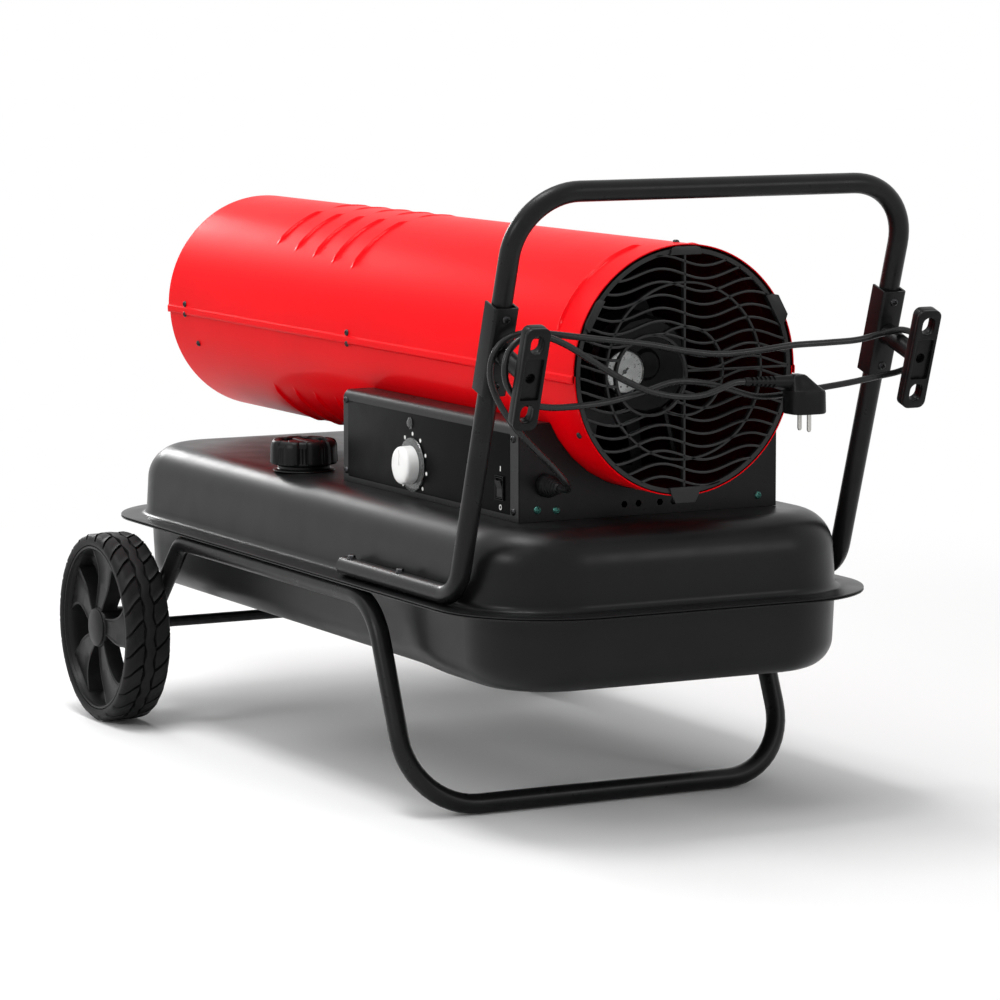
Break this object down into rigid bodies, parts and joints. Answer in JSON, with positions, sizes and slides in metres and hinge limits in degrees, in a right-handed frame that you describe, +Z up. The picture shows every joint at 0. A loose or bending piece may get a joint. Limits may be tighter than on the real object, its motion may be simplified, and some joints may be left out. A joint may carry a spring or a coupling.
{
  "type": "forced air heater",
  "caption": "Portable oil-fired forced air heater: long round barrel over a pressed fuel tank, with wheels, a tube foot, a tube handle, a wavy inlet grille and a cord on cleats.",
  "frame": {"origin": "on the floor under the middle of the heater's box, without the loose cord and plug", "axes": "+X along the barrel towards the air inlet and the handle, -Y towards the control panel, +Z up"},
  "size_m": [1.1888, 0.623, 0.7015],
  "materials": {
    "gloss_red_paint": "glossy stoved paint",
    "black_powder_coat": "satin powder coat",
    "black_plastic": "moulded, satin",
    "white_plastic": "moulded, satin",
    "clear_plastic": "clear, polished",
    "tyre_rubber": "moulded tread, matt",
    "black_rubber": "matt",
    "zinc_steel": "zinc plated",
    "heat_steel": "heat-dulled",
    "cast_aluminium": "cast, matt",
    "brass_fitting": "turned",
    "circuit_board": "laminate",
    "ceramic": "glazed"
  },
  "bodies": {
    "heater": {"tank_upper_shell": "black_powder_coat", "tank_lower_shell": "black_powder_coat", "drain_plug": "zinc_steel", "fuel_pickup": "brass_fitting", "filler_neck": "black_powder_coat", "fuel_strainer": "zinc_steel", "wheel_frame": "black_powder_coat", "axle": "zinc_steel", "handle_hoop": "black_powder_coat", "near_handle_leg": "black_powder_coat", "near_handle_bracket": "black_powder_coat", "near_cord_cleat": "black_plastic", "far_handle_leg": "black_powder_coat", "far_handle_bracket": "black_powder_coat", "far_cord_cleat": "black_plastic", "base_frame": "black_powder_coat", "control_panel": "black_powder_coat", "side_cover": "black_powder_coat", "thermostat_body": "black_plastic", "switch_body": "black_plastic", "indicator_lens": "clear_plastic", "control_board": "circuit_board", "ignition_transformer": "black_plastic", "cable_gland": "black_plastic", "barrel_upper_shell": "gloss_red_paint", "barrel_lower_shell": "gloss_red_paint", "outlet_ring": "heat_steel", "inlet_grille": "black_plastic", "combustion_chamber": "heat_steel", "flame_deflector": "heat_steel", "burner_head": "zinc_steel", "fuel_nozzle": "brass_fitting", "spark_plug": "ceramic", "flame_sensor": "black_plastic", "fan_motor": "black_powder_coat", "motor_bracket": "zinc_steel", "air_pump_body": "cast_aluminium", "air_pump_cover": "black_powder_coat", "gauge_case": "white_plastic", "gauge_glass": "clear_plastic", "fuel_hose": "black_rubber", "air_hose": "black_rubber", "ignition_lead": "black_rubber", "mains_cord": "black_rubber", "mains_plug": "black_plastic"},
    "near_wheel": {"near_wheel_rim": "black_plastic", "near_tyre": "tyre_rubber", "near_hub_cap": "black_plastic"},
    "far_wheel": {"far_wheel_rim": "black_plastic", "far_tyre": "tyre_rubber", "far_hub_cap": "black_plastic"},
    "fan_rotor": {"fan": "cast_aluminium", "motor_shaft": "zinc_steel", "pump_rotor": "heat_steel"},
    "thermostat_dial": {"thermostat_knob": "white_plastic"},
    "power_rocker": {"rocker": "black_plastic"},
    "needle": {"gauge_needle": "black_plastic"},
    "cap_lifter": {"cap_seal": "black_rubber"},
    "cap": {"fuel_cap": "black_plastic"}
  },
  "joints": [
    {"name": "near_wheel_spin", "type": "hinge", "parent": "heater", "child": "near_wheel", "pos_m": [-0.42836, -0.283, 0.1156], "axis": [0, 1, 0], "continuous": true},
    {"name": "far_wheel_spin", "type": "hinge", "parent": "heater", "child": "far_wheel", "pos_m": [-0.42836, 0.283, 0.1156], "axis": [0, 1, 0], "continuous": true},
    {"name": "fan_spin", "type": "hinge", "parent": "heater", "child": "fan_rotor", "pos_m": [0.22664, 0, 0.493], "axis": [1, 0, 0], "continuous": true},
    {"name": "thermostat_turn", "type": "hinge", "parent": "heater", "child": "thermostat_dial", "pos_m": [0.15064, -0.1596, 0.368], "axis": [0, 1, 0], "range_deg": [0, 270]},
    {"name": "rocker_tilt", "type": "hinge", "parent": "heater", "child": "power_rocker", "pos_m": [0.36214, -0.1566, 0.365], "axis": [1, 0, 0], "range_deg": [-16, 0]},
    {"name": "needle_swing", "type": "hinge", "parent": "heater", "child": "needle", "pos_m": [0.41894, -0.04, 0.489], "axis": [1, 0, 0], "range_deg": [-270, 0], "stiffness_Nm_per_rad": 0.0005},
    {"name": "cap_lift", "type": "slide", "parent": "heater", "child": "cap_lifter", "axis": [0, 0, 1], "range_m": [0, 0.009]},
    {"name": "cap_turn", "type": "hinge", "parent": "cap_lifter", "child": "cap", "pos_m": [-0.14336, -0.157, 0.35], "axis": [0, 0, 1], "range_deg": [0, 540]}
  ],
  "couplings": [
    {"joint": "cap_lift", "follows": "cap_turn", "m_per_rad": 0.000954}
  ]
}
